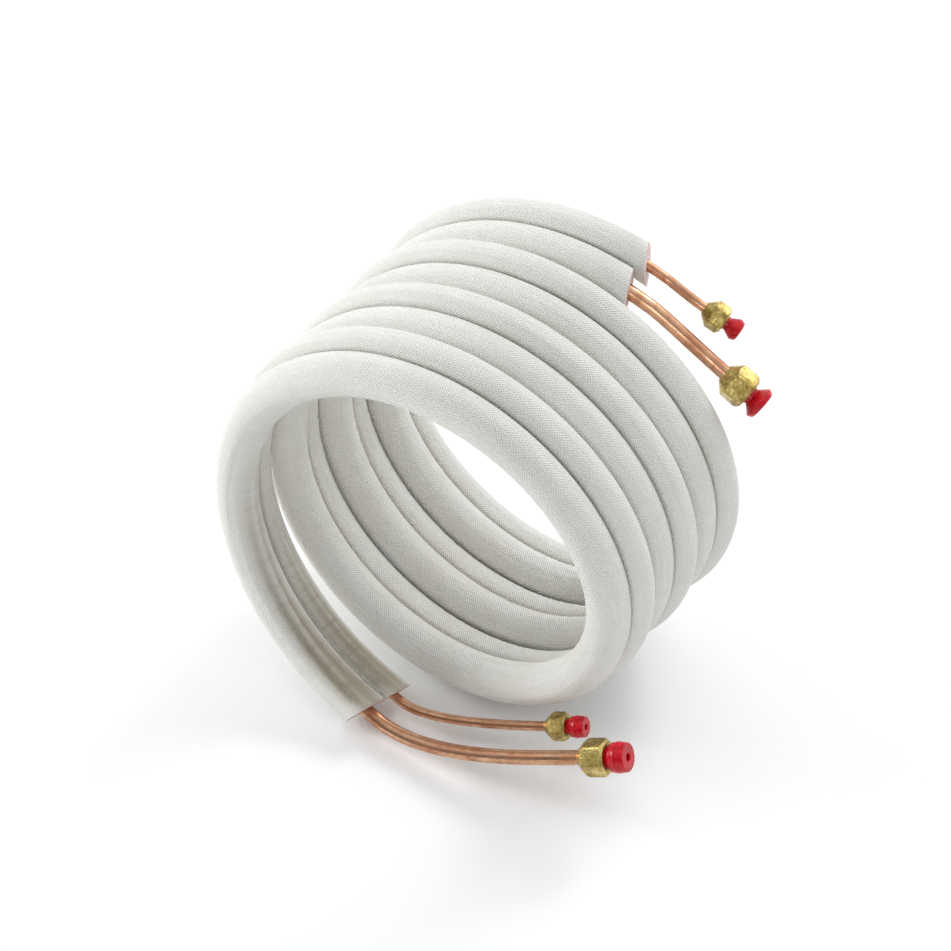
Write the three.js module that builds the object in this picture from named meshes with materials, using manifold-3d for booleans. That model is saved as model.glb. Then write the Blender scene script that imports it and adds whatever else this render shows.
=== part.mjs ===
// A line set for a small split air conditioner: a thick and a thin copper tube, each in a foam sleeve,
// the two sleeves bonded side by side and the pair wound into an open coil that stands on its edge.
// Lengths are in millimetres and angles in degrees. The coil's axis runs along Y, +Z is up, and the
// origin is under the middle of the part, on the floor.
import * as THREE from 'three';
import { mergeVertices } from 'three/addons/utils/BufferGeometryUtils.js';
import Module from 'manifold-3d';

// Sections of the two lines
const THICK_TUBE_DIAMETER = 9.52;
const THIN_TUBE_DIAMETER = 6.35;
const TUBE_WALL = 0.8;
const THICK_FOAM_WALL = 9;
const THIN_FOAM_WALL = 9;
const FIT_GAP = 0.3;

// The pair of sleeves: how far the two rounds are pressed into each other, and how far the pair is
// rolled over, so that the thin line rides further out than the thick one
const SLEEVE_OVERLAP = 4.6;
const PAIR_ROLL = 13.8;

// The coil, measured to the centre of the thick line; angle 0 is the left side and 90 is the top
const COIL_RADIUS = 130.6;
const COIL_STRETCH = 2.4;
const TURN_LEAN = 7.6;
const TURN_GAP = 0.3;
const FRONT_END_ANGLE = -83.3;
const FAR_END_ANGLE = 1193;

// The front end is pulled out of the coil's side and unrolls as it goes; both ends spring outwards
const FRONT_PULL = 15.7;
const FRONT_OPENING = 3.8;
const FRONT_PULL_ANGLE = 118.5;
const FAR_OPENING = 4.5;
const FAR_OPENING_ANGLE = 60;

// Bare copper past the sleeves: where the nut's back lies from the coil's last station, the way the
// nut points, and how far the tube holds its direction at each end of the bend. Each tube first runs
// on straight, so that it leaves its sleeve cleanly
const BARE_ENDS = {
  front_thick: { nutBack: [148.9, 25.6, 31.9], aim: [0.89, 0.27, 0.368], hold: [42, 41], steps: 9 },
  front_thin: { nutBack: [107.8, 22.5, 18.1], aim: [0.904, 0.286, 0.317], hold: [24, 18], steps: 8 },
  far_thick: { nutBack: [65.2, 8.0, -37.8], aim: [0.866, 0.078, -0.494], hold: [13, 34], steps: 5 },
  far_thin: { nutBack: [35.9, 7.4, -20.3], aim: [0.886, 0.174, -0.429], hold: [5, 11], steps: 3 },
};
const EXIT_STRAIGHT = 11;

// The sleeves' ends are cut askew: how far each cut lies ahead of the coil's last station at the
// tube's centre, and how much further per millimetre across to the thin line and up from it
const SLEEVE_CUTS = {
  front_thick: { ahead: -1, across: 0.187, up: -0.454 },
  front_thin: { ahead: 3.1, across: 0.187, up: -0.454 },
  far_thick: { ahead: -2, across: -0.351, up: -0.224 },
  far_thin: { ahead: -2.5, across: -0.464, up: -0.341 },
};
const CUTTER_RADIUS = 20;
const CUTTER_LENGTH = 24;

// Flare nuts and the plugs that close them for transport
const THICK_NUT = {
  acrossFlats: 22,
  length: 20,
  coneLength: 7,
  lip: 1.4,
  chamfer: 2.8,
  threadDiameter: 14.4,
  seatStart: 9,
};
const THIN_NUT = {
  acrossFlats: 17,
  length: 15.5,
  coneLength: 6.5,
  lip: 1.2,
  chamfer: 2.4,
  threadDiameter: 10.2,
  seatStart: 8,
};
const THICK_FLARE_DIAMETER = 13;
const THIN_FLARE_DIAMETER = 9;
const NECK_LENGTH = 2.5;
const PLUGS = {
  front_thick: { neck: 12.4, shoulder: 19, flange: 20.4, flangeAt: 7, face: 18.8, length: 13.6, dimple: 5.5 },
  front_thin: { neck: 9, shoulder: 13.6, flange: 14.8, flangeAt: 6.5, face: 13.4, length: 12.5, dimple: 4 },
  far_thick: { neck: 11.6, shoulder: 12.4, flange: 21.6, flangeAt: 7.8, face: 19.4, length: 11, dimple: 5.5 },
  far_thin: { neck: 8.8, shoulder: 9.4, flange: 14.6, flangeAt: 7.6, face: 12.6, length: 11, dimple: 4 },
};
const DIMPLE_DEPTH = 8;

// How finely the round forms are faceted, and small lengths that the making needs
const STEPS_PER_TURN = 24;
const SLEEVE_SIDES = 9;
const TUBE_SIDES = 8;
const BORE_SIDES = 6;
const NUT_SIDES = 24;
const THREAD_SIDES = 16;
const HEADING_STEP = 0.5;
const MERGE_DISTANCE = 1e-5;
const CUT_THROUGH = 1;

const radians = THREE.MathUtils.degToRad;
const thickTubeRadius = THICK_TUBE_DIAMETER / 2;
const thinTubeRadius = THIN_TUBE_DIAMETER / 2;
const thickSleeveRadius = thickTubeRadius + FIT_GAP + THICK_FOAM_WALL;
const thinSleeveRadius = thinTubeRadius + FIT_GAP + THIN_FOAM_WALL;
const pairDistance = thickSleeveRadius + thinSleeveRadius - SLEEVE_OVERLAP;
const pitch = pairDistance * Math.cos(radians(PAIR_ROLL)) + thickSleeveRadius + thinSleeveRadius + TURN_GAP;

// Where the two sleeves' rounds cross, measured from the centre of each towards the other
const thickSeam = (pairDistance ** 2 + thickSleeveRadius ** 2 - thinSleeveRadius ** 2) / (2 * pairDistance);
const thinSeam = pairDistance - thickSeam;

const wasm = await Module();
wasm.setup();

// How far each end has left the coil, from 0 to 1 at its tip
function frontShare(angle) {
  return Math.max(0, (FRONT_END_ANGLE + FRONT_PULL_ANGLE - angle) / FRONT_PULL_ANGLE) ** 2;
}

function farShare(angle) {
  return Math.max(0, (angle - FAR_END_ANGLE + FAR_OPENING_ANGLE) / FAR_OPENING_ANGLE) ** 2;
}

// The thick line's centre at an angle along the coil
function thickCentre(angle) {
  const turned = radians(angle);
  const opened = FRONT_OPENING * frontShare(angle) + FAR_OPENING * farShare(angle);
  const radius = COIL_RADIUS - COIL_STRETCH * Math.cos(2 * turned) + opened;
  const across = pitch * angle / 360 - TURN_LEAN * Math.cos(turned) - FRONT_PULL * frontShare(angle);
  return new THREE.Vector3(-radius * Math.cos(turned), across, radius * Math.sin(turned));
}

// The station at an angle: the thick line's centre, its heading, the way to the thin line, and the
// third direction that squares them
function stationAt(angle) {
  const heading = thickCentre(angle + HEADING_STEP).sub(thickCentre(angle - HEADING_STEP)).normalize();
  const roll = radians(PAIR_ROLL * (1 - frontShare(angle)));
  const turned = radians(angle);
  const toThin = new THREE.Vector3(-Math.cos(turned), 0, Math.sin(turned)).multiplyScalar(Math.sin(roll));
  toThin.y = Math.cos(roll);
  toThin.addScaledVector(heading, -toThin.dot(heading)).normalize();
  const third = new THREE.Vector3().crossVectors(heading, toThin);
  return { centre: thickCentre(angle), heading, side: toThin, third };
}

function thinStation(station) {
  return { ...station, centre: station.centre.clone().addScaledVector(station.side, pairDistance) };
}

function coilStations() {
  const steps = Math.round(STEPS_PER_TURN * (FAR_END_ANGLE - FRONT_END_ANGLE) / 360);
  const stations = [];
  for (let step = 0; step <= steps; step += 1) {
    stations.push(stationAt(FRONT_END_ANGLE + (FAR_END_ANGLE - FRONT_END_ANGLE) * step / steps));
  }
  return stations;
}

// A round section as points across and up
function ringSection(radius, sides) {
  const points = [];
  for (let side = 0; side < sides; side += 1) {
    const angle = 2 * Math.PI * (side + 0.5) / sides;
    points.push(new THREE.Vector2(radius * Math.cos(angle), radius * Math.sin(angle)));
  }
  return points;
}

// A sleeve's outer section: a round with a flat where it is bonded to the other sleeve
function sleeveSection(radius, seam, facing) {
  const flatAt = seam - FIT_GAP / 2;
  const half = Math.acos(flatAt / radius);
  const points = [];
  for (let side = 0; side <= SLEEVE_SIDES; side += 1) {
    const angle = half + (2 * Math.PI - 2 * half) * side / SLEEVE_SIDES + (facing > 0 ? 0 : Math.PI);
    points.push(new THREE.Vector2(radius * Math.cos(angle), radius * Math.sin(angle)));
  }
  return points;
}

// A hollow bar carried along stations: each station has its own outer and inner section, and the
// two ends are closed by flat rings
function carry(stations, outers, inners) {
  const outerCount = outers[0].length;
  const innerCount = inners[0].length;
  const stride = outerCount + innerCount;
  const positions = [];
  const triangles = [];
  stations.forEach((station, index) => {
    for (const point of [...outers[index], ...inners[index]]) {
      const place = station.centre.clone().addScaledVector(station.side, point.x);
      place.addScaledVector(station.third, point.y);
      positions.push(place.x, place.y, place.z);
    }
  });
  for (let index = 0; index + 1 < stations.length; index += 1) {
    const here = index * stride;
    const next = here + stride;
    for (let side = 0; side < outerCount; side += 1) {
      const other = (side + 1) % outerCount;
      triangles.push(here + side, here + other, next + other, here + side, next + other, next + side);
    }
    for (let side = outerCount; side < stride; side += 1) {
      const other = outerCount + (side + 1 - outerCount) % innerCount;
      triangles.push(here + side, next + other, here + other, here + side, next + side, next + other);
    }
  }
  for (const index of [0, stations.length - 1]) {
    const ring = THREE.ShapeUtils.triangulateShape(outers[index], [inners[index]]);
    for (const [a, b, c] of ring) {
      const [first, second] = index === 0 ? [c, b] : [b, c];
      triangles.push(index * stride + a, index * stride + first, index * stride + second);
    }
  }
  const geometry = new THREE.BufferGeometry();
  geometry.setAttribute('position', new THREE.Float32BufferAttribute(positions, 3));
  geometry.setIndex(triangles);
  return geometry;
}

function stationAhead(last, outwards, length) {
  return { ...last, centre: last.centre.clone().addScaledVector(last.heading, outwards * length) };
}

// What is cut off a sleeve's end: a short round block that stands on the askew cut
function endCutter(last, outwards, cut) {
  const normal = last.heading.clone().multiplyScalar(outwards);
  normal.addScaledVector(last.side, -cut.across).addScaledVector(last.third, -cut.up).normalize();
  const block = new THREE.CylinderGeometry(CUTTER_RADIUS, CUTTER_RADIUS, CUTTER_LENGTH, NUT_SIDES);
  block.applyQuaternion(new THREE.Quaternion().setFromUnitVectors(new THREE.Vector3(0, 1, 0), normal));
  const middle = stationAhead(last, outwards, cut.ahead).centre.addScaledVector(normal, CUTTER_LENGTH / 2);
  block.translate(middle.x, middle.y, middle.z);
  return toSolid(block);
}

function foamSleeve(stations, outer, tubeRadius, cuts) {
  const [first, last] = [stations[0], stations[stations.length - 1]];
  const route = [stationAhead(first, -1, EXIT_STRAIGHT), ...stations, stationAhead(last, 1, EXIT_STRAIGHT)];
  const bore = ringSection(tubeRadius + FIT_GAP, TUBE_SIDES);
  const whole = toSolid(carry(route, route.map(() => outer), route.map(() => bore)));
  const trimmed = whole.subtract(endCutter(first, -1, cuts.front)).subtract(endCutter(last, 1, cuts.far));
  return toGeometry(trimmed);
}

// The stations of a bare end, from the coil's last station outwards, carried on without twisting
function bareStations(last, outwards, end, nut, flareRadius, tubeRadius) {
  const start = stationAhead(last, outwards, EXIT_STRAIGHT).centre;
  const leave = last.heading.clone().multiplyScalar(outwards);
  const aim = new THREE.Vector3(...end.aim).normalize();
  const nutBack = last.centre.clone().add(new THREE.Vector3(...end.nutBack));
  const bend = new THREE.CubicBezierCurve3(
    start,
    start.clone().addScaledVector(leave, end.hold[0]),
    nutBack.clone().addScaledVector(aim, -end.hold[1]),
    nutBack,
  );
  const flareStart = nut.seatStart + FIT_GAP * Math.SQRT2;
  const flareEnd = flareStart + flareRadius - tubeRadius;
  const places = [{ centre: start, ahead: leave.clone() }];
  for (let step = 1; step <= end.steps; step += 1) {
    places.push({ centre: bend.getPoint(step / end.steps), ahead: bend.getTangent(step / end.steps) });
  }
  for (const along of [flareStart, flareEnd]) {
    places.push({ centre: nutBack.clone().addScaledVector(aim, along), ahead: aim.clone() });
  }
  let before = last;
  const stations = places.map(({ centre, ahead }) => {
    const heading = ahead.multiplyScalar(outwards);
    const side = before.side.clone().addScaledVector(heading, -before.side.dot(heading)).normalize();
    const third = new THREE.Vector3().crossVectors(heading, side);
    before = { centre, heading, side, third };
    return before;
  });
  return { stations, nutBack, aim, flareEnd };
}

// One copper tube: a bare end, the coil and the other bare end, flared at both tips
function copperTube(stations, tubeRadius, flareRadius, front, far) {
  const path = [...[...front.stations].reverse(), ...stations, ...far.stations];
  const outer = ringSection(tubeRadius, TUBE_SIDES);
  const inner = ringSection(tubeRadius - TUBE_WALL, BORE_SIDES);
  const outers = path.map(() => outer);
  const inners = path.map(() => inner);
  for (const tip of [0, path.length - 1]) {
    outers[tip] = ringSection(flareRadius, TUBE_SIDES);
    inners[tip] = ringSection(flareRadius - TUBE_WALL * Math.SQRT2, BORE_SIDES);
  }
  return carry(path, outers, inners);
}

function toSolid(geometry) {
  geometry.deleteAttribute('normal');
  geometry.deleteAttribute('uv');
  const merged = mergeVertices(geometry, MERGE_DISTANCE);
  const corners = [];
  const index = merged.index.array;
  for (let at = 0; at < index.length; at += 3) {
    const [a, b, c] = [index[at], index[at + 1], index[at + 2]];
    if (a !== b && b !== c && c !== a) corners.push(a, b, c);
  }
  const place = merged.attributes.position;
  return new wasm.Manifold(new wasm.Mesh({
    numProp: place.itemSize,
    vertProperties: new Float32Array(place.array),
    triVerts: new Uint32Array(corners),
  }));
}

function toGeometry(solid) {
  const mesh = solid.getMesh();
  const geometry = new THREE.BufferGeometry();
  geometry.setAttribute('position', new THREE.BufferAttribute(new Float32Array(mesh.vertProperties), 3));
  geometry.setIndex(new THREE.BufferAttribute(new Uint32Array(mesh.triVerts), 1));
  return geometry;
}

// A turned form about Z, from pairs of radius and height that start and end on the axis
function turned(profile, sides) {
  const points = profile.map(([radius, height]) => new THREE.Vector2(radius, height));
  return new THREE.LatheGeometry(points, sides).rotateX(Math.PI / 2);
}

function flareNut(nut, tubeRadius) {
  const corner = nut.acrossFlats / Math.sqrt(3);
  const boreRadius = tubeRadius + FIT_GAP;
  const threadRadius = nut.threadDiameter / 2;
  const body = turned([
    [0, 0],
    [tubeRadius + nut.lip, 0],
    [corner, nut.coneLength],
    [corner, nut.length - nut.chamfer],
    [corner - nut.chamfer, nut.length],
    [0, nut.length],
  ], NUT_SIDES);
  const hexagon = new THREE.CylinderGeometry(corner, corner, nut.length * 2, 6).rotateX(Math.PI / 2);
  const bore = turned([
    [0, -CUT_THROUGH],
    [boreRadius, -CUT_THROUGH],
    [boreRadius, nut.seatStart],
    [threadRadius, nut.seatStart + threadRadius - boreRadius],
    [threadRadius, nut.length + CUT_THROUGH],
    [0, nut.length + CUT_THROUGH],
  ], THREAD_SIDES);
  return toGeometry(toSolid(body).intersect(toSolid(hexagon)).subtract(toSolid(bore)));
}

// A plug: a stem in the nut's thread, a short neck clear of the nut's face, and a dimpled head
function transportPlug(plug, nut, flareEnd) {
  const stem = nut.threadDiameter / 2 - FIT_GAP;
  const headAt = nut.length + NECK_LENGTH;
  const faceAt = nut.length + plug.length;
  return turned([
    [0, flareEnd + FIT_GAP],
    [stem, flareEnd + FIT_GAP],
    [stem, nut.length],
    [plug.neck / 2, nut.length],
    [plug.neck / 2, headAt],
    [plug.shoulder / 2, headAt],
    [plug.flange / 2, nut.length + plug.flangeAt],
    [plug.face / 2, faceAt],
    [plug.dimple / 2, faceAt],
    [plug.dimple / 2, faceAt - DIMPLE_DEPTH],
    [0, faceAt - DIMPLE_DEPTH],
  ], THREAD_SIDES);
}

const foam = new THREE.MeshStandardMaterial({ color: 0xecebe6, roughness: 0.9, metalness: 0 });
const copper = new THREE.MeshStandardMaterial({ color: 0xb87a55, roughness: 0.35, metalness: 1 });
const brass = new THREE.MeshStandardMaterial({ color: 0xb39a45, roughness: 0.4, metalness: 1 });
const redPlastic = new THREE.MeshStandardMaterial({ color: 0xc8202c, roughness: 0.4, metalness: 0 });

const lineSet = new THREE.Group();

function add(name, geometry, material, end) {
  const mesh = new THREE.Mesh(geometry, material);
  mesh.name = name;
  if (end) {
    mesh.position.copy(end.nutBack);
    mesh.quaternion.setFromUnitVectors(new THREE.Vector3(0, 0, 1), end.aim);
  }
  lineSet.add(mesh);
}

function addLine(line) {
  const { name, stations, section, tubeRadius, flareRadius, nut } = line;
  const [first, last] = [stations[0], stations[stations.length - 1]];
  const ends = {
    front: bareStations(first, -1, BARE_ENDS[`front_${name}`], nut, flareRadius, tubeRadius),
    far: bareStations(last, 1, BARE_ENDS[`far_${name}`], nut, flareRadius, tubeRadius),
  };
  const cuts = { front: SLEEVE_CUTS[`front_${name}`], far: SLEEVE_CUTS[`far_${name}`] };
  add(`${name}_foam_sleeve`, foamSleeve(stations, section, tubeRadius, cuts), foam);
  add(`${name}_copper_tube`, copperTube(stations, tubeRadius, flareRadius, ends.front, ends.far), copper);
  for (const [place, end] of Object.entries(ends)) {
    add(`${place}_${name}_flare_nut`, flareNut(nut, tubeRadius), brass, end);
    const plug = transportPlug(PLUGS[`${place}_${name}`], nut, end.flareEnd);
    add(`${place}_${name}_plug`, plug, redPlastic, end);
  }
}

const coil = coilStations();
addLine({
  name: 'thick',
  stations: coil,
  section: sleeveSection(thickSleeveRadius, thickSeam, 1),
  tubeRadius: thickTubeRadius,
  flareRadius: THICK_FLARE_DIAMETER / 2,
  nut: THICK_NUT,
});
addLine({
  name: 'thin',
  stations: coil.map(thinStation),
  section: sleeveSection(thinSleeveRadius, thinSeam, -1),
  tubeRadius: thinTubeRadius,
  flareRadius: THIN_FLARE_DIAMETER / 2,
  nut: THIN_NUT,
});

// The part is set down with the middle of its footprint over the origin
const box = new THREE.Box3().setFromObject(lineSet, true);
const middle = box.getCenter(new THREE.Vector3());
lineSet.position.set(-middle.x, -middle.y, -box.min.z);

export default lineSet;
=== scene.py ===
import math

import bpy
import numpy as np
from mathutils import Matrix, Vector


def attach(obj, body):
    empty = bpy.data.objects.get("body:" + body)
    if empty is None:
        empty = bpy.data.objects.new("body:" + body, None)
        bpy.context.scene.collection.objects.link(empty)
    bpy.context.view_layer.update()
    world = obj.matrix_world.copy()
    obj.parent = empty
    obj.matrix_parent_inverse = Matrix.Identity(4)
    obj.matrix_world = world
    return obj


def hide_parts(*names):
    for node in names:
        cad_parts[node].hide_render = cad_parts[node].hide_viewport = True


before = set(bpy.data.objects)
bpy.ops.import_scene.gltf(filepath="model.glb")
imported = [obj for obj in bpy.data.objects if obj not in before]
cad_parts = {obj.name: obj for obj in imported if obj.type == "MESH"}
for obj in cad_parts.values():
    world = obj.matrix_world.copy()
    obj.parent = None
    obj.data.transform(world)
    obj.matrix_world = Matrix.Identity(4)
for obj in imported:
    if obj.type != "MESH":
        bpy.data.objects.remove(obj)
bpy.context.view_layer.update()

MM = 0.001

# Sections of the two lines
THICK_TUBE_RADIUS = 4.76 * MM
THIN_TUBE_RADIUS = 3.175 * MM
TUBE_WALL = 0.8 * MM
FOAM_WALL = 9.0 * MM
FIT_GAP = 0.3 * MM
SLEEVE_OVERLAP = 4.6 * MM
PAIR_ROLL = 13.8

# The coil, to the centre of the thick line; angle 0 is the left side and 90 is the top
COIL_CENTRE = np.array([-11.0068, -80.8465, 149.4577]) * MM
COIL_RADIUS = 130.6 * MM
COIL_STRETCH = 2.4 * MM
TURN_LEAN = 7.6 * MM
TURN_GAP = 0.3 * MM
FRONT_END_ANGLE = -83.3
FAR_END_ANGLE = 1193.0
FRONT_PULL = 15.7 * MM
FRONT_OPENING = 3.8 * MM
FRONT_PULL_ANGLE = 118.5
FAR_OPENING = 4.5 * MM
FAR_OPENING_ANGLE = 60.0

# Bare tube past the sleeves: the nut's back from the coil's last station, the nut's aim, and how
# far the tube holds its direction at each end of the bend, once it has run on straight
BARE_ENDS = {
    "front_thick": ((148.9, 25.6, 31.9), (0.89, 0.27, 0.368), (42, 41)),
    "front_thin": ((107.8, 22.5, 18.1), (0.904, 0.286, 0.317), (24, 18)),
    "far_thick": ((65.2, 8.0, -37.8), (0.866, 0.078, -0.494), (13, 34)),
    "far_thin": ((35.9, 7.4, -20.3), (0.886, 0.174, -0.429), (5, 11)),
}
EXIT_STRAIGHT = 11.0 * MM

# Each sleeve's askew cuts: how far ahead of the last station at the tube's centre, and how much
# further per unit across to the thin line and up from it. The foam within the reach follows the cut
SLEEVE_CUTS = {
    "front_thick": (-1.0 * MM, 0.187, -0.454),
    "front_thin": (3.1 * MM, 0.187, -0.454),
    "far_thick": (-2.0 * MM, -0.351, -0.224),
    "far_thin": (-2.5 * MM, -0.464, -0.341),
}
CUT_REACH = 30.0 * MM

# Flare nuts and plugs, in millimetres along each one's own axis
THICK_NUT = dict(flats=22.0, length=20.0, cone=7.0, lip=1.4, chamfer=2.8,
                 thread=14.4, seat=9.0, flare=13.0)
THIN_NUT = dict(flats=17.0, length=15.5, cone=6.5, lip=1.2, chamfer=2.4,
                thread=10.2, seat=8.0, flare=9.0)
PLUGS = {
    "front_thick": dict(neck=12.4, shoulder=19.0, flange=20.4, flange_at=7.0,
                        face=18.8, length=13.6, dimple=5.5),
    "front_thin": dict(neck=9.0, shoulder=13.6, flange=14.8, flange_at=6.5,
                       face=13.4, length=12.5, dimple=4.0),
    "far_thick": dict(neck=11.6, shoulder=12.4, flange=21.6, flange_at=7.8,
                      face=19.4, length=11.0, dimple=5.5),
    "far_thin": dict(neck=8.8, shoulder=9.4, flange=14.6, flange_at=7.6,
                     face=12.6, length=11.0, dimple=4.0),
}
NECK_LENGTH = 2.5
DIMPLE_DEPTH = 8.0
WORN_CORNER = 0.3
PLUG_EDGE = 0.5

# The foam's skin: the pitch of its embossed dots, its eased corners, its folds and creases, and the
# deeper folds of the part that was bent off the coil
DOT_PITCH = 2.0 * MM
EASED_DEPTH = 0.9 * MM
EASED_ANGLE = 0.13
FOLD_COUNT = 7
FOLD_HEIGHT = 0.055 * MM
CREASE_COUNT = 5
CREASE_HEIGHT = 0.42 * MM
BENT_FOLDS = (7, 9, 12)
BENT_LENGTH = 330.0 * MM
BENT_DEPTH = 2.2 * MM
CALM_LENGTH = 12.0 * MM
FLOOR_CLEARANCE = 0.05 * MM

THICK_SLEEVE_RADIUS = THICK_TUBE_RADIUS + FIT_GAP + FOAM_WALL
THIN_SLEEVE_RADIUS = THIN_TUBE_RADIUS + FIT_GAP + FOAM_WALL
PAIR_DISTANCE = THICK_SLEEVE_RADIUS + THIN_SLEEVE_RADIUS - SLEEVE_OVERLAP
PITCH = (PAIR_DISTANCE * math.cos(math.radians(PAIR_ROLL))
         + THICK_SLEEVE_RADIUS + THIN_SLEEVE_RADIUS + TURN_GAP)
THICK_SEAM = ((PAIR_DISTANCE ** 2 + THICK_SLEEVE_RADIUS ** 2 - THIN_SLEEVE_RADIUS ** 2)
              / (2 * PAIR_DISTANCE))
THIN_SEAM = PAIR_DISTANCE - THICK_SEAM

# How finely the surfaces are sampled
SLEEVE_STEPS = 1300
SLEEVE_SIDES = 56
BORE_STEPS = 260
BEND_STEPS = 70
COIL_TUBE_STEPS = 420
TUBE_SIDES = 28
NUT_SIDES = 96
PLUG_SIDES = 72

# The lights: place, size and power
LIGHTS = {
    "key": ((0.1, 1.8, 1.5), 0.7, 16),
    "left": ((-2.0, -0.9, 0.6), 0.7, 28),
    "fill": ((1.0, -1.9, 1.3), 0.9, 11),
}
LIGHT_AIM = Vector((0, 0, 0.15))
FLOOR_SIZE = 14

# The camera, at the photograph's angle
CAMERA_YAW = -35.43
CAMERA_PITCH = 45.94
CAMERA_DISTANCE = 2.2204
CAMERA_AIM = Vector((-5.908, -16.699, 167.872)) * MM
CAMERA_LENS = 133.8


def unit(vectors):
    """Each vector divided by its own length."""
    return vectors / np.linalg.norm(vectors, axis=-1, keepdims=True)


# The coil's route, the same as the solids follow

def front_share(angle):
    """How far the front end has left the coil: the square of the share of its pull angle passed."""
    return np.maximum(0.0, (FRONT_END_ANGLE + FRONT_PULL_ANGLE - angle) / FRONT_PULL_ANGLE) ** 2


def far_share(angle):
    """The same for the far end."""
    return np.maximum(0.0, (angle - FAR_END_ANGLE + FAR_OPENING_ANGLE) / FAR_OPENING_ANGLE) ** 2


def thick_centre(angle):
    """The thick line's centre: a helix of slightly stretched circles that lean along the axis."""
    turned = np.radians(angle)
    opened = FRONT_OPENING * front_share(angle) + FAR_OPENING * far_share(angle)
    radius = COIL_RADIUS - COIL_STRETCH * np.cos(2 * turned) + opened
    across = PITCH * angle / 360 - TURN_LEAN * np.cos(turned) - FRONT_PULL * front_share(angle)
    return COIL_CENTRE + np.stack([-radius * np.cos(turned), across, radius * np.sin(turned)], -1)


def stations_at(angle):
    """Centre, heading, side and third direction at each angle. The side points to the thin line: it
    is the axis rolled outwards, squared to the heading."""
    heading = unit(thick_centre(angle + 0.5) - thick_centre(angle - 0.5))
    roll = np.radians(PAIR_ROLL * (1 - front_share(angle)))
    turned = np.radians(angle)
    outwards = np.stack([-np.cos(turned), np.zeros_like(turned), np.sin(turned)], -1)
    side = outwards * np.sin(roll)[:, None] + np.array([0, 1, 0]) * np.cos(roll)[:, None]
    side = unit(side - heading * np.sum(side * heading, -1, keepdims=True))
    third = np.cross(heading, side)
    return dict(centre=thick_centre(angle), heading=heading, side=side, third=third)


def thin_line(stations):
    return dict(stations, centre=stations["centre"] + stations["side"] * PAIR_DISTANCE)


def length_along(centre):
    """Distance walked from the first station to each of the others."""
    return np.concatenate([[0.0], np.cumsum(np.linalg.norm(np.diff(centre, axis=0), axis=1))])


# Surfaces from grids of points

def new_object(name, mesh, materials):
    for material in materials:
        mesh.materials.append(material)
    piece = bpy.data.objects.new(name, mesh)
    bpy.context.scene.collection.objects.link(piece)
    return piece


def ring_surface(name, rings, along, around, materials, slots, sharp=40.0):
    """A closed surface from rings that are joined to each other, the last to the first. rings is
    [ring, side, xyz]; along is each ring's U and around each side's V, one longer than the sides;
    slots is each ring's material."""
    count, sides = rings.shape[:2]
    ring = np.arange(count)[:, None]
    side = np.arange(sides)[None, :]
    after, beside = (ring + 1) % count, (side + 1) % sides
    faces = np.stack([ring * sides + side, ring * sides + beside,
                      after * sides + beside, after * sides + side], -1).reshape(-1, 4)
    mesh = bpy.data.meshes.new(name)
    mesh.vertices.add(count * sides)
    mesh.vertices.foreach_set("co", rings.reshape(-1).astype(np.float32))
    mesh.loops.add(faces.size)
    mesh.loops.foreach_set("vertex_index", faces.reshape(-1).astype(np.int32))
    mesh.polygons.add(len(faces))
    mesh.polygons.foreach_set("loop_start", np.arange(0, faces.size, 4, dtype=np.int32))
    mesh.polygons.foreach_set("material_index", np.repeat(slots, sides).astype(np.int32))
    mesh.polygons.foreach_set("use_smooth", np.ones(len(faces), bool))
    uv = np.empty((count, sides, 4, 2))
    along_next = np.append(along[1:], along[-1])
    uv[..., 0, 0] = uv[..., 1, 0] = along[:, None]
    uv[..., 2, 0] = uv[..., 3, 0] = along_next[:, None]
    uv[..., 0, 1] = uv[..., 3, 1] = around[None, :-1]
    uv[..., 1, 1] = uv[..., 2, 1] = around[None, 1:]
    mesh.uv_layers.new(name="surface").data.foreach_set("uv", uv.reshape(-1).astype(np.float32))
    mesh.update(calc_edges=True)
    mesh.validate()
    mesh.set_sharp_from_angle(angle=math.radians(sharp))
    return new_object(name, mesh, materials)


def carried(stations, across, up):
    """Points at across and up from each station; both are [station, side]."""
    return (stations["centre"][:, None] + across[..., None] * stations["side"][:, None]
            + up[..., None] * stations["third"][:, None])


def between(stations, share):
    """Stations at fractional places between the given ones, by straight interpolation."""
    place = share * (len(stations["centre"]) - 1)
    low = np.minimum(place.astype(int), len(stations["centre"]) - 2)
    part = (place - low)[:, None]
    blend = {key: value[low] * (1 - part) + value[low + 1] * part
             for key, value in stations.items()}
    for key in ("heading", "side", "third"):
        blend[key] = unit(blend[key])
    return blend


# The foam sleeves

def sleeve_radius(radius, seam, facing, phi):
    """Outer radius by direction: a round, cut flat where it is bonded, with the corner eased."""
    away = np.abs((phi - (0.0 if facing > 0 else math.pi) + math.pi) % (2 * math.pi) - math.pi)
    half = math.acos(seam / radius)
    flat = (seam - FIT_GAP / 2) / np.cos(np.minimum(away, half))
    outer = np.where(away < half, flat, radius)
    return outer - EASED_DEPTH * np.exp(-((away - half) / EASED_ANGLE) ** 2)


def bent_share(length, inward):
    """How much the foam was squeezed where the first part was bent off the coil: full at its tip on
    the side that faces the coil's axis, fading along the part and round the sleeve. The same share
    sets how much shade is painted on the skin there."""
    return np.clip(1 - length / BENT_LENGTH, 0, 1) ** 0.6 * inward ** 0.7


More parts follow.
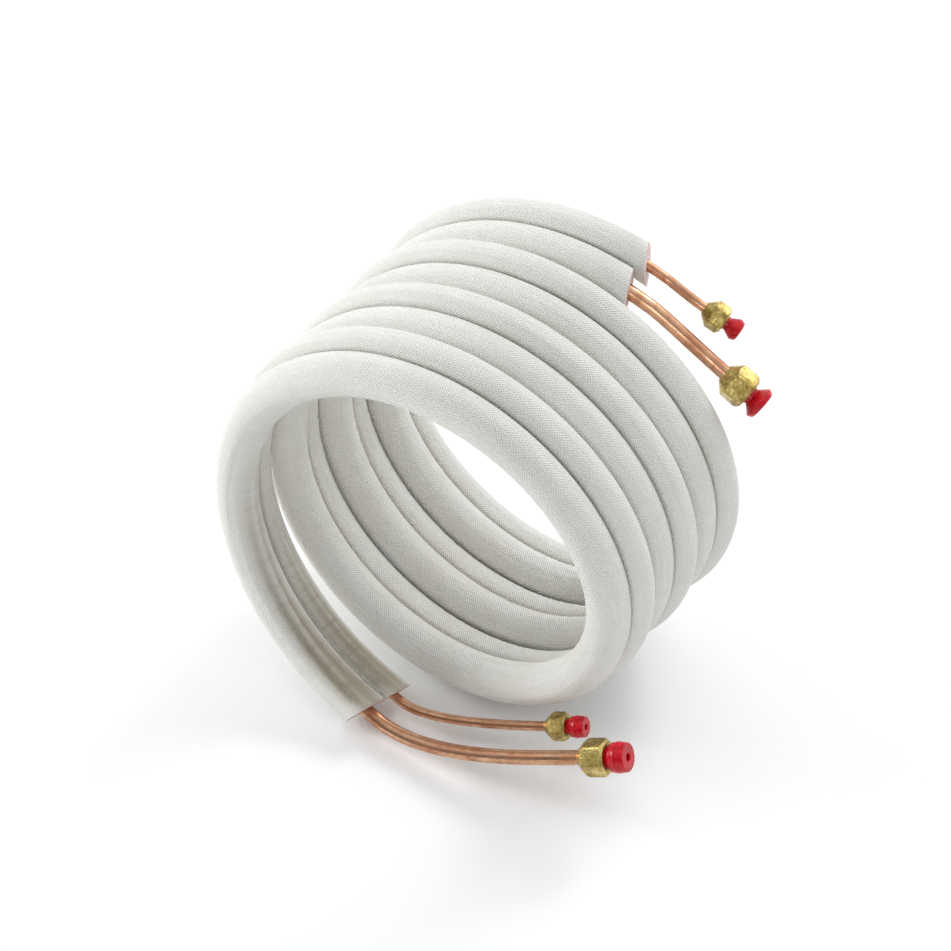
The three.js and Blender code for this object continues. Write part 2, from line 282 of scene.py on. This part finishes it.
def wrinkles(length, phi, inward, seed):
    """How far the skin is drawn in: long folds that run with the tube and drift round it, short
    creases across it on the side that faces the coil's axis, where the foam is pushed together, and
    deeper long folds where the first part was squeezed."""
    random = np.random.default_rng(seed)
    drawn = np.zeros(np.broadcast(length, phi).shape)
    for _ in range(FOLD_COUNT):
        count = random.integers(5, 14)
        drift = random.uniform(0.0, 2 * math.pi) + random.uniform(-5, 5) * length
        swell = 0.5 + 0.5 * np.sin(random.uniform(8, 30) * length + random.uniform(0, 6.3))
        drawn += FOLD_HEIGHT * (1 - np.cos(count * phi + drift)) * swell
    for _ in range(CREASE_COUNT):
        wave = random.uniform(280, 620)
        bend = random.uniform(-1.5, 1.5) * np.sin(phi + random.uniform(0, 6.3))
        swell = np.maximum(0, np.sin(random.uniform(12, 40) * length + random.uniform(0, 6.3)))
        crease = np.maximum(0, np.cos(wave * length + bend)) ** 6
        drawn += CREASE_HEIGHT * crease * swell * inward ** 2
    squeezed = bent_share(length, inward)
    for count in BENT_FOLDS:
        drift = random.uniform(0, 6.3) + 0.8 * np.sin(random.uniform(9, 18) * length)
        fold = (0.5 + 0.5 * np.cos(count * phi + drift)) ** 2
        drawn += BENT_DEPTH / len(BENT_FOLDS) * squeezed * fold
    return drawn


def cut_askew(points, stations, across, up, length, line):
    """Each point near an end is moved along the heading so that the end lies in its askew plane.
    The move fades out with the distance from the end as a smooth step."""
    for place, outwards, near in (("front", -1, length), ("far", 1, length.max() - length)):
        ahead, per_across, per_up = SLEEVE_CUTS[f"{place}_{line}"]
        fade = np.clip(1 - near / CUT_REACH, 0, 1)[:, None]
        fade = fade * fade * (3 - 2 * fade)
        move = outwards * fade * (ahead + per_across * across + per_up * up)
        points = points + move[..., None] * stations["heading"][:, None]
    return points


def foam_sleeve(name, line, stations, radius, seam, facing, tube_radius, seed, materials):
    """A sleeve: at each station the radius is the eased round less its wrinkles, carried along the
    coil and held above the floor. Cut ends lead to a round bore, so that the surface is closed. The
    crease attribute holds painted shade: how dark the skin is painted on the bent part's side that
    faces the coil's axis, darker still in its folds."""
    phi = np.linspace(0, 2 * math.pi, SLEEVE_SIDES, endpoint=False)
    length = length_along(stations["centre"])
    from_axis = stations["centre"] - COIL_CENTRE
    from_axis[:, 1] = 0
    from_axis = unit(from_axis)
    direction = (np.cos(phi)[None, :, None] * stations["side"][:, None]
                 + np.sin(phi)[None, :, None] * stations["third"][:, None])
    inward = np.maximum(0.0, -np.sum(direction * from_axis[:, None], -1))
    profile = sleeve_radius(radius, seam, facing, phi)[None, :]
    near_end = np.minimum(length, length[-1] - length)[:, None]
    calm = np.clip(near_end / CALM_LENGTH, 0.25, 1)
    drawn = wrinkles(length[:, None], phi[None, :], inward, seed) * calm
    outer_radius = profile - drawn
    across, up = outer_radius * np.cos(phi), outer_radius * np.sin(phi)
    outer = cut_askew(carried(stations, across, up), stations, across, up, length, line)
    outer[..., 2] = np.maximum(outer[..., 2], FLOOR_CLEARANCE)
    inside = between(stations, np.linspace(1, 0, BORE_STEPS))
    bore_radius = np.full((BORE_STEPS, 1), tube_radius + FIT_GAP)
    across, up = bore_radius * np.cos(phi), bore_radius * np.sin(phi)
    bore_length = np.linspace(length[-1], 0, BORE_STEPS)
    bore = cut_askew(carried(inside, across, up), inside, across, up, bore_length, line)
    far_cap = [bore[0] + (outer[-1] - bore[0]) * part for part in (0.97, 0.66, 0.33)]
    front_cap = [bore[-1] + (outer[0] - bore[-1]) * part for part in (0.33, 0.66, 0.97)]
    rings = np.concatenate([outer, np.stack(far_cap), bore, np.stack(front_cap)])
    rest = len(rings) - len(outer)
    along = np.concatenate([length, np.linspace(length[-1], length[-1] + radius, rest)])
    dots_round = round(2 * math.pi * radius / DOT_PITCH)
    around = np.append(phi, 2 * math.pi) / (2 * math.pi) * dots_round * DOT_PITCH
    slots = np.concatenate([np.zeros(len(outer) - 1), np.ones(rest + 1)])
    sleeve = ring_surface(name, rings, along, around, materials, slots)
    # Painted shade: the crease attribute darkens the skin all over the bent part's side that faces
    # the coil's axis, and more in its folds
    crease = np.zeros(rings.shape[:2], np.float32)
    squeezed = bent_share(length[:, None], inward)
    crease[:len(outer)] = 0.5 * squeezed ** 3 + 0.7 * squeezed ** 2 * drawn / BENT_DEPTH
    values = sleeve.data.attributes.new("crease", "FLOAT", "POINT").data
    values.foreach_set("value", crease.reshape(-1))
    return sleeve


# The copper tubes

def bare_run(last, outwards, end, nut, tube_radius):
    """Stations of a bare end, outwards: straight out of the sleeve, a cubic bend, then straight
    into the nut up to the flare's start and end."""
    reach, aim, hold = BARE_ENDS[end]
    aim = unit(np.array(aim))
    leave = last["heading"] * outwards
    start = last["centre"] + leave * EXIT_STRAIGHT
    nut_back = last["centre"] + np.array(reach) * MM
    guides = [start, start + leave * hold[0] * MM, nut_back - aim * hold[1] * MM, nut_back]
    t = np.linspace(0, 1, BEND_STEPS)[:, None]
    bend = ((1 - t) ** 3 * guides[0] + 3 * (1 - t) ** 2 * t * guides[1]
            + 3 * (1 - t) * t ** 2 * guides[2] + t ** 3 * guides[3])
    flare_start = nut["seat"] * MM + FIT_GAP * math.sqrt(2)
    flare_end = flare_start + nut["flare"] / 2 * MM - tube_radius
    centre = np.concatenate([bend, nut_back + aim * np.array([[flare_start], [flare_end]])])
    ahead = np.gradient(centre, axis=0)
    ahead[0], ahead[-3:] = leave, aim
    heading = unit(ahead) * outwards
    side = unit(last["side"] - heading * np.sum(last["side"] * heading, -1, keepdims=True))
    run = dict(centre=centre, heading=heading, side=side, third=np.cross(heading, side))
    return run, nut_back, aim, flare_end


def one_station(stations, index):
    return {key: value[index] for key, value in stations.items()}


def copper_tube(name, stations, ends, nut, tube_radius, material):
    """A drawn tube: a circle carried along a bare end, the coil and the other bare end, with its
    radius widened at both tips, and a smaller circle carried back as the inner wall."""
    inside = between(stations, np.linspace(0, 1, COIL_TUBE_STEPS))
    front, far = ends
    path = {key: np.concatenate([front[key][::-1], inside[key], far[key]]) for key in inside}
    count = len(path["centre"])
    outer_radius = np.full(count, tube_radius)
    outer_radius[[0, -1]] = nut["flare"] / 2 * MM
    inner_radius = outer_radius - TUBE_WALL
    phi = np.linspace(0, 2 * math.pi, TUBE_SIDES, endpoint=False)
    outer, inner = [carried(path, radius[:, None] * np.cos(phi), radius[:, None] * np.sin(phi))
                    for radius in (outer_radius, inner_radius)]
    rings = np.concatenate([outer, inner[::-1]])
    length = length_along(path["centre"])
    along = np.concatenate([length, length[::-1]])
    around = np.append(phi, 2 * math.pi) * tube_radius
    return ring_surface(name, rings, along, around, [material], np.zeros(len(rings)))


# Nuts and plugs, made about their own axis and then set on the tube's end

def placed(points, origin, aim):
    """Points about Z turned so that Z is the aim, and moved to the origin."""
    turn = np.array(Vector((0, 0, 1)).rotation_difference(Vector(aim)).to_matrix())
    return points @ turn.T + origin


def smooth_profile(corners, step=0.35):
    """A run of straight lines through the corners, cut into short steps, in millimetres."""
    pieces = []
    for first, last in zip(corners, corners[1:]):
        first, last = np.array(first, float), np.array(last, float)
        count = max(1, int(np.linalg.norm(last - first) / step))
        pieces.append(first + (last - first) * np.linspace(0, 1, count, endpoint=False)[:, None])
    return np.concatenate(pieces + [np.array([corners[-1]], float)])


def flare_nut(name, nut, tube_radius, origin, aim, material):
    """A hexagon cut by a cone at the back and a chamfer in front: at each height the radius is the
    smaller of the turned profile and the hexagon, with its corners a little worn."""
    tube = tube_radius / MM
    corner = nut["flats"] / math.sqrt(3)
    thread, bore = nut["thread"] / 2, tube + FIT_GAP / MM
    turned = smooth_profile([
        (tube + nut["lip"] - 0.4, 0.0), (tube + nut["lip"], 0.4), (corner, nut["cone"]),
        (corner, nut["length"] - nut["chamfer"]), (corner - nut["chamfer"], nut["length"])])
    mouth = smooth_profile([
        (corner - nut["chamfer"], nut["length"]), (thread + 0.6, nut["length"]),
        (thread, nut["length"] - 0.6), (thread, nut["seat"] + thread - bore), (bore, nut["seat"]),
        (bore, 0.3), (bore + 0.3, 0.0)], 1.0)[1:]
    theta = np.linspace(0, 2 * math.pi, NUT_SIDES, endpoint=False)
    off_flat = (theta + math.pi / 6) % (math.pi / 3) - math.pi / 6
    hexagon = np.minimum(nut["flats"] / 2 / np.cos(off_flat), corner - WORN_CORNER)
    outside = np.minimum(turned[:, :1], hexagon[None, :])
    radius = np.concatenate([outside, np.minimum(mouth[:, :1], hexagon[None, :])])
    height = np.concatenate([turned[:, 1], mouth[:, 1]])
    points = np.stack([radius * np.cos(theta), radius * np.sin(theta),
                       np.broadcast_to(height[:, None], radius.shape)], -1) * MM
    rings = placed(points, origin, aim)
    along = height * MM
    around = np.append(theta, 2 * math.pi) * corner * MM
    return ring_surface(name, rings, along, around, [material], np.zeros(len(rings)), sharp=22.0)


def transport_plug(name, plug, nut, flare_end, origin, aim, material):
    """A turned plug: a stem in the thread, a short neck and a head that widens to its flange, with
    eased edges and a dimple in its face. The two poles close it as fans."""
    stem = nut["thread"] / 2 - FIT_GAP / MM
    neck, shoulder, flange = plug["neck"] / 2, plug["shoulder"] / 2, plug["flange"] / 2
    face, dimple = plug["face"] / 2, plug["dimple"] / 2
    bottom, head = flare_end / MM + 0.3, nut["length"] + NECK_LENGTH
    flange_at, top = nut["length"] + plug["flange_at"], nut["length"] + plug["length"]
    ease = min(0.7, (shoulder - neck) / 3)
    profile = smooth_profile([
        (0.0, bottom), (stem - PLUG_EDGE, bottom), (stem, bottom + PLUG_EDGE),
        (stem, nut["length"] - 0.3), (neck, nut["length"]), (neck, head),
        (shoulder - ease, head), (shoulder, head + ease), (flange - 0.25, flange_at - 0.6),
        (flange, flange_at), (flange - 0.12, flange_at + PLUG_EDGE), (face, top - PLUG_EDGE),
        (face - 0.6, top), (dimple + PLUG_EDGE, top), (dimple, top - PLUG_EDGE),
        (dimple - 0.3, top - DIMPLE_DEPTH), (0.0, top - DIMPLE_DEPTH)], 0.6)
    theta = np.linspace(0, 2 * math.pi, PLUG_SIDES, endpoint=False)
    radius = profile[1:-1, :1]
    points = np.stack([radius * np.cos(theta), radius * np.sin(theta),
                       np.broadcast_to(profile[1:-1, 1:], (len(radius), PLUG_SIDES))], -1)
    poles = np.array([[0, 0, profile[0, 1]], [0, 0, profile[-1, 1]]])
    vertices = placed(np.concatenate([points.reshape(-1, 3), poles]) * MM, origin, aim)
    ring = np.arange(len(radius) - 1)[:, None] * PLUG_SIDES
    side = np.arange(PLUG_SIDES)[None, :]
    beside = (side + 1) % PLUG_SIDES
    after = ring + PLUG_SIDES
    quads = np.stack([ring + side, ring + beside, after + beside, after + side], -1)
    low = len(points) * PLUG_SIDES
    last_ring = low - PLUG_SIDES
    low_fan = np.stack([np.full(PLUG_SIDES, low), beside[0], side[0]], -1)
    high_fan = np.stack([np.full(PLUG_SIDES, low + 1), last_ring + side[0],
                         last_ring + beside[0]], -1)
    faces = quads.reshape(-1, 4).tolist() + low_fan.tolist() + high_fan.tolist()
    mesh = bpy.data.meshes.new(name)
    mesh.from_pydata(vertices.tolist(), [], faces)
    mesh.polygons.foreach_set("use_smooth", np.ones(len(mesh.polygons), bool))
    mesh.update()
    mesh.set_sharp_from_angle(angle=math.radians(35))
    return new_object(name, mesh, [material])


# Materials

def feed(tree, made, values):
    """Sets a node's inputs: each value is a number for a socket or a socket to link."""
    for socket, value in values.items():
        if isinstance(value, bpy.types.NodeSocket):
            tree.links.new(value, made.inputs[socket])
        else:
            made.inputs[socket].default_value = value


def put(tree, kind, values=None, **settings):
    """A new node with its settings and inputs."""
    made = tree.nodes.new(kind)
    for name, setting in settings.items():
        setattr(made, name, setting)
    feed(tree, made, values or {})
    return made


def maths(tree, operation, first, second=0.0):
    """The result of a sum, product or other operation on one or two values."""
    return put(tree, "ShaderNodeMath", {0: first, 1: second}, operation=operation).outputs[0]


def spread(tree, value, low, high, to_low=0.0, to_high=1.0):
    """A value from one range carried smoothly to another."""
    return put(tree, "ShaderNodeMapRange", {"Value": value, "From Min": low, "From Max": high,
                                            "To Min": to_low, "To Max": to_high},
               interpolation_type="SMOOTHSTEP").outputs["Result"]


def mixed(tree, share, first, second):
    made = put(tree, "ShaderNodeMix", data_type="RGBA")
    feed(tree, made, {0: share, 6: first, 7: second})
    return made.outputs[2]


def new_group(name, inputs, output):
    """An empty node group that takes a vector and numbers and puts out one number."""
    group = bpy.data.node_groups.new(name, "ShaderNodeTree")
    group.interface.new_socket("Vector", in_out="INPUT", socket_type="NodeSocketVector")
    for label in inputs:
        group.interface.new_socket(label, in_out="INPUT", socket_type="NodeSocketFloat")
    group.interface.new_socket(output, in_out="OUTPUT", socket_type="NodeSocketFloat")
    given = put(group, "NodeGroupInput").outputs
    return group, given, put(group, "NodeGroupOutput").inputs[output]


def noise_at(tree, place, scale, detail, roughness=0.5):
    return put(tree, "ShaderNodeTexNoise", {"Vector": place, "Scale": scale, "Detail": detail,
                                            "Roughness": roughness}).outputs["Fac"]


def mottling_group():
    """Cloudy patches from two sizes of noise, as a mask from 0 to 1."""
    group, given, out = new_group("mottling", ["Patches per metre"], "Mask")
    broad = noise_at(group, given["Vector"], given["Patches per metre"], 4.0, 0.6)
    closer = maths(group, "MULTIPLY", given["Patches per metre"], 4.3)
    fine = noise_at(group, given["Vector"], closer, 3.0)
    both = maths(group, "ADD", maths(group, "MULTIPLY", broad, 0.65),
                 maths(group, "MULTIPLY", fine, 0.35))
    group.links.new(spread(group, both, 0.36, 0.64), out)
    return group


def lines_group():
    """Lines that run along U: noise stretched a given number of times, as a mask from 0 to 1."""
    group, given, out = new_group("lengthwise_lines", ["Lines per metre", "Stretch"], "Mask")
    parts = put(group, "ShaderNodeSeparateXYZ", {"Vector": given["Vector"]}).outputs
    along = maths(group, "DIVIDE", parts["X"], given["Stretch"])
    place = put(group, "ShaderNodeCombineXYZ", {"X": along, "Y": parts["Y"]}).outputs["Vector"]
    noise = noise_at(group, place, given["Lines per metre"], 3.0, 0.65)
    group.links.new(spread(group, noise, 0.3, 0.7), out)
    return group


def embossing_group():
    """Pressed dots: the sine of U times the sine of V, sharpened, as a height from 0 to 1."""
    group, given, out = new_group("embossing", ["Dots per metre"], "Height")
    parts = put(group, "ShaderNodeSeparateXYZ", {"Vector": given["Vector"]}).outputs
    turns = maths(group, "MULTIPLY", given["Dots per metre"], 2 * math.pi)
    wave_u = maths(group, "SINE", maths(group, "MULTIPLY", parts["X"], turns))
    wave_v = maths(group, "SINE", maths(group, "MULTIPLY", parts["Y"], turns))
    group.links.new(spread(group, maths(group, "MULTIPLY", wave_u, wave_v), -0.75, 0.75), out)
    return group


def use(tree, group, values):
    made = put(tree, "ShaderNodeGroup")
    made.node_tree = group
    feed(tree, made, values)
    return made.outputs[0]


def node_material(name):
    """A new material with its node tree and its shader's inputs."""
    material = bpy.data.materials.new(name)
    material.use_nodes = True
    tree = material.node_tree
    return material, tree, tree.nodes["Principled BSDF"].inputs


def on_surface(tree):
    """The piece's own map: U along it and V round it, in metres."""
    return put(tree, "ShaderNodeUVMap", uv_map="surface").outputs["UV"]


def in_space(tree):
    return put(tree, "ShaderNodeTexCoord").outputs["Object"]


def patches_in(tree, groups, per_metre):
    values = {"Vector": in_space(tree), "Patches per metre": per_metre}
    return use(tree, groups["mottling"], values)


def lines_on(tree, groups, per_metre, stretch):
    values = {"Vector": on_surface(tree), "Lines per metre": per_metre, "Stretch": stretch}
    return use(tree, groups["lines"], values)


def bump(tree, height, distance, **normal):
    """The normal of a height in metres, over another normal where one is given."""
    values = {"Height": height, "Distance": distance, **normal}
    return put(tree, "ShaderNodeBump", values).outputs["Normal"]


def finish(tree, shader, colour, roughness, normal):
    """Feeds the shader; the roughness may be one number."""
    tree.links.new(colour, shader["Base Color"])
    if isinstance(roughness, bpy.types.NodeSocket):
        tree.links.new(roughness, shader["Roughness"])
    else:
        shader["Roughness"].default_value = roughness
    tree.links.new(normal, shader["Normal"])


def foam_skin(groups):
    """White foam in an embossed skin, with painted shade: darker and warmer in the hollows between
    its dots, and dark brown on the bent part's side that faces the coil's axis and in its folds.
    """
    material, tree, shader = node_material("foam_skin")
    lines = lines_on(tree, groups, 420.0, 18.0)
    dots = use(tree, groups["embossing"],
               {"Vector": on_surface(tree), "Dots per metre": 1 / DOT_PITCH})
    patches = patches_in(tree, groups, 22.0)
    crease = put(tree, "ShaderNodeAttribute", attribute_name="crease").outputs["Fac"]
    tint = mixed(tree, patches, (0.86, 0.843, 0.79, 1), (0.90, 0.89, 0.855, 1))
    streaked = mixed(tree, maths(tree, "MULTIPLY", lines, 0.35), tint, (0.78, 0.765, 0.71, 1))
    # Painted shade: the hollows between the embossed dots are painted darker and warmer
    dot_hollow_shade = spread(tree, dots, 0.45, 0.0, 0.0, 0.55)
    hollow_shaded = mixed(tree, dot_hollow_shade, streaked, (0.56, 0.545, 0.50, 1))
    # Painted shade: the crease attribute paints the bent part's side that faces the coil's axis,
    # and its folds, dark brown
    squeezed = spread(tree, crease, 0.0, 0.7, 0.0, 0.95)
    colour = mixed(tree, squeezed, hollow_shaded, (0.33, 0.28, 0.205, 1))
    lined = bump(tree, lines, 0.25 * MM)
    finish(tree, shader, colour, spread(tree, patches, 0, 1, 0.62, 0.78),
           bump(tree, dots, 0.42 * MM, Normal=lined))
    return material


def foam_cut(groups):
    """Cut foam: tiny closed cells in a peach tint."""
    material, tree, shader = node_material("foam_cut")
    cells = put(tree, "ShaderNodeTexVoronoi", {"Vector": in_space(tree), "Scale": 1400.0})
    distance = cells.outputs["Distance"]
    patches = patches_in(tree, groups, 160.0)
    tint = mixed(tree, patches, (0.72, 0.55, 0.49, 1), (0.82, 0.70, 0.66, 1))
    colour = mixed(tree, spread(tree, distance, 0.5, 0.1, 0.0, 0.3), tint, (0.45, 0.33, 0.28, 1))
    finish(tree, shader, colour, 0.95, bump(tree, distance, 0.4 * MM))
    return material


def drawn_copper(groups):
    """Soft copper: bright and brown patches under faint drawing lines."""
    material, tree, shader = node_material("drawn_copper")
    lines = lines_on(tree, groups, 900.0, 40.0)
    patches = patches_in(tree, groups, 45.0)
    tint = mixed(tree, patches, (0.48, 0.22, 0.12, 1), (0.80, 0.49, 0.31, 1))
    colour = mixed(tree, maths(tree, "MULTIPLY", lines, 0.4), tint, (0.36, 0.15, 0.08, 1))
    shader["Metallic"].default_value = 1.0
    finish(tree, shader, colour, spread(tree, patches, 0, 1, 0.40, 0.25),
           bump(tree, lines, 0.03 * MM))
    return material


def cut_brass(groups):
    """Forged and turned brass: olive stains, brighter patches and fine tool marks."""
    material, tree, shader = node_material("cut_brass")
    marks = lines_on(tree, groups, 700.0, 0.2)
    patches = patches_in(tree, groups, 120.0)
    tint = mixed(tree, patches, (0.27, 0.185, 0.05, 1), (0.74, 0.58, 0.21, 1))
    colour = mixed(tree, maths(tree, "MULTIPLY", marks, 0.3), tint, (0.30, 0.24, 0.07, 1))
    shader["Metallic"].default_value = 1.0
    finish(tree, shader, colour, spread(tree, patches, 0, 1, 0.42, 0.26),
           bump(tree, marks, 0.05 * MM))
    return material


def red_plastic(groups):
    """Soft moulded plastic, a little clouded."""
    material, tree, shader = node_material("red_plastic")
    patches = patches_in(tree, groups, 150.0)
    colour = mixed(tree, patches, (0.40, 0.002, 0.008, 1), (0.66, 0.006, 0.016, 1))
    shader["Specular IOR Level"].default_value = 0.35
    finish(tree, shader, colour, spread(tree, patches, 0, 1, 0.22, 0.34),
           bump(tree, patches, 0.06 * MM))
    return material


# The pieces

def finish_piece(piece, node):
    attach(piece, "root")
    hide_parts(node)


def build_line(line, stations, section, tube_radius, nut, seed, finishes):
    foam, cut, copper, brass, red = finishes
    radius, seam, facing = section
    sleeve = foam_sleeve(f"{line}_sleeve", line, stations, radius, seam, facing, tube_radius, seed,
                         [foam, cut])
    finish_piece(sleeve, f"{line}_foam_sleeve")
    runs = []
    for place, index, outwards in (("front", 0, -1), ("far", -1, 1)):
        last = one_station(stations, index)
        run, nut_back, aim, flare_end = bare_run(
            last, outwards, f"{place}_{line}", nut, tube_radius)
        runs.append(run)
        brass_nut = flare_nut(f"{place}_{line}_nut", nut, tube_radius, nut_back, aim, brass)
        finish_piece(brass_nut, f"{place}_{line}_flare_nut")
        plug = PLUGS[f"{place}_{line}"]
        cap = transport_plug(f"{place}_{line}_cap", plug, nut, flare_end, nut_back, aim, red)
        finish_piece(cap, f"{place}_{line}_plug")
    tube = copper_tube(f"{line}_tube", stations, runs, nut, tube_radius, copper)
    finish_piece(tube, f"{line}_copper_tube")


def build_line_set():
    groups = {"mottling": mottling_group(), "lines": lines_group(),
              "embossing": embossing_group()}
    makers = (foam_skin, foam_cut, drawn_copper, cut_brass, red_plastic)
    finishes = [make(groups) for make in makers]
    coil = stations_at(np.linspace(FRONT_END_ANGLE, FAR_END_ANGLE, SLEEVE_STEPS))
    build_line("thick", coil, (THICK_SLEEVE_RADIUS, THICK_SEAM, 1), THICK_TUBE_RADIUS,
               THICK_NUT, 11, finishes)
    build_line("thin", thin_line(coil), (THIN_SLEEVE_RADIUS, THIN_SEAM, -1), THIN_TUBE_RADIUS,
               THIN_NUT, 23, finishes)


# Floor, light and camera

def add_floor():
    bpy.ops.mesh.primitive_plane_add(size=FLOOR_SIZE)
    floor = bpy.context.object
    floor.name = "floor"
    material, tree, shader = node_material("pale_floor")
    patches = noise_at(tree, in_space(tree), 1.5, 2.0)
    colour = mixed(tree, patches, (0.94, 0.94, 0.94, 1), (0.96, 0.96, 0.96, 1))
    tree.links.new(colour, shader["Base Color"])
    shader["Roughness"].default_value = 0.8
    floor.data.materials.append(material)


def add_light(name, place, size, power):
    data = bpy.data.lights.new(name, "AREA")
    data.size = size
    data.energy = power
    light = bpy.data.objects.new(name, data)
    light.location = place
    light.rotation_euler = (LIGHT_AIM - Vector(place)).to_track_quat("-Z", "Y").to_euler()
    bpy.context.scene.collection.objects.link(light)


def add_camera():
    yaw, pitch = math.radians(CAMERA_YAW), math.radians(CAMERA_PITCH)
    level = Vector((math.sin(yaw), math.cos(yaw), 0)) * math.cos(pitch)
    ahead = level - Vector((0, 0, math.sin(pitch)))
    right = Vector((math.cos(yaw), -math.sin(yaw), 0))
    up = right.cross(ahead)
    data = bpy.data.cameras.new("camera")
    data.sensor_width = 36
    data.lens = CAMERA_LENS
    camera = bpy.data.objects.new("camera", data)
    turn = Matrix((right, up, -ahead)).transposed()
    camera.matrix_world = Matrix.Translation(CAMERA_AIM - ahead * CAMERA_DISTANCE) @ turn.to_4x4()
    bpy.context.scene.collection.objects.link(camera)
    bpy.context.scene.camera = camera


def set_world():
    """A white studio that is brighter above and behind the coil than on the camera's side."""
    world = bpy.data.worlds.new("studio")
    world.use_nodes = True
    tree = world.node_tree
    direction = put(tree, "ShaderNodeTexCoord").outputs["Generated"]
    towards = put(tree, "ShaderNodeVectorMath", {0: direction, 1: (-0.15, 0.75, 0.64)},
                  operation="DOT_PRODUCT").outputs["Value"]
    background = tree.nodes["Background"]
    background.inputs["Color"].default_value = (0.955, 0.978, 1.0, 1)
    tree.links.new(spread(tree, towards, -0.45, 0.85, 0.14, 1.12), background.inputs["Strength"])
    bpy.context.scene.world = world
    bpy.context.scene.view_settings.view_transform = "Standard"


add_camera()
build_line_set()
add_floor()
set_world()
for light_name, settings in LIGHTS.items():
    add_light(light_name, *settings)
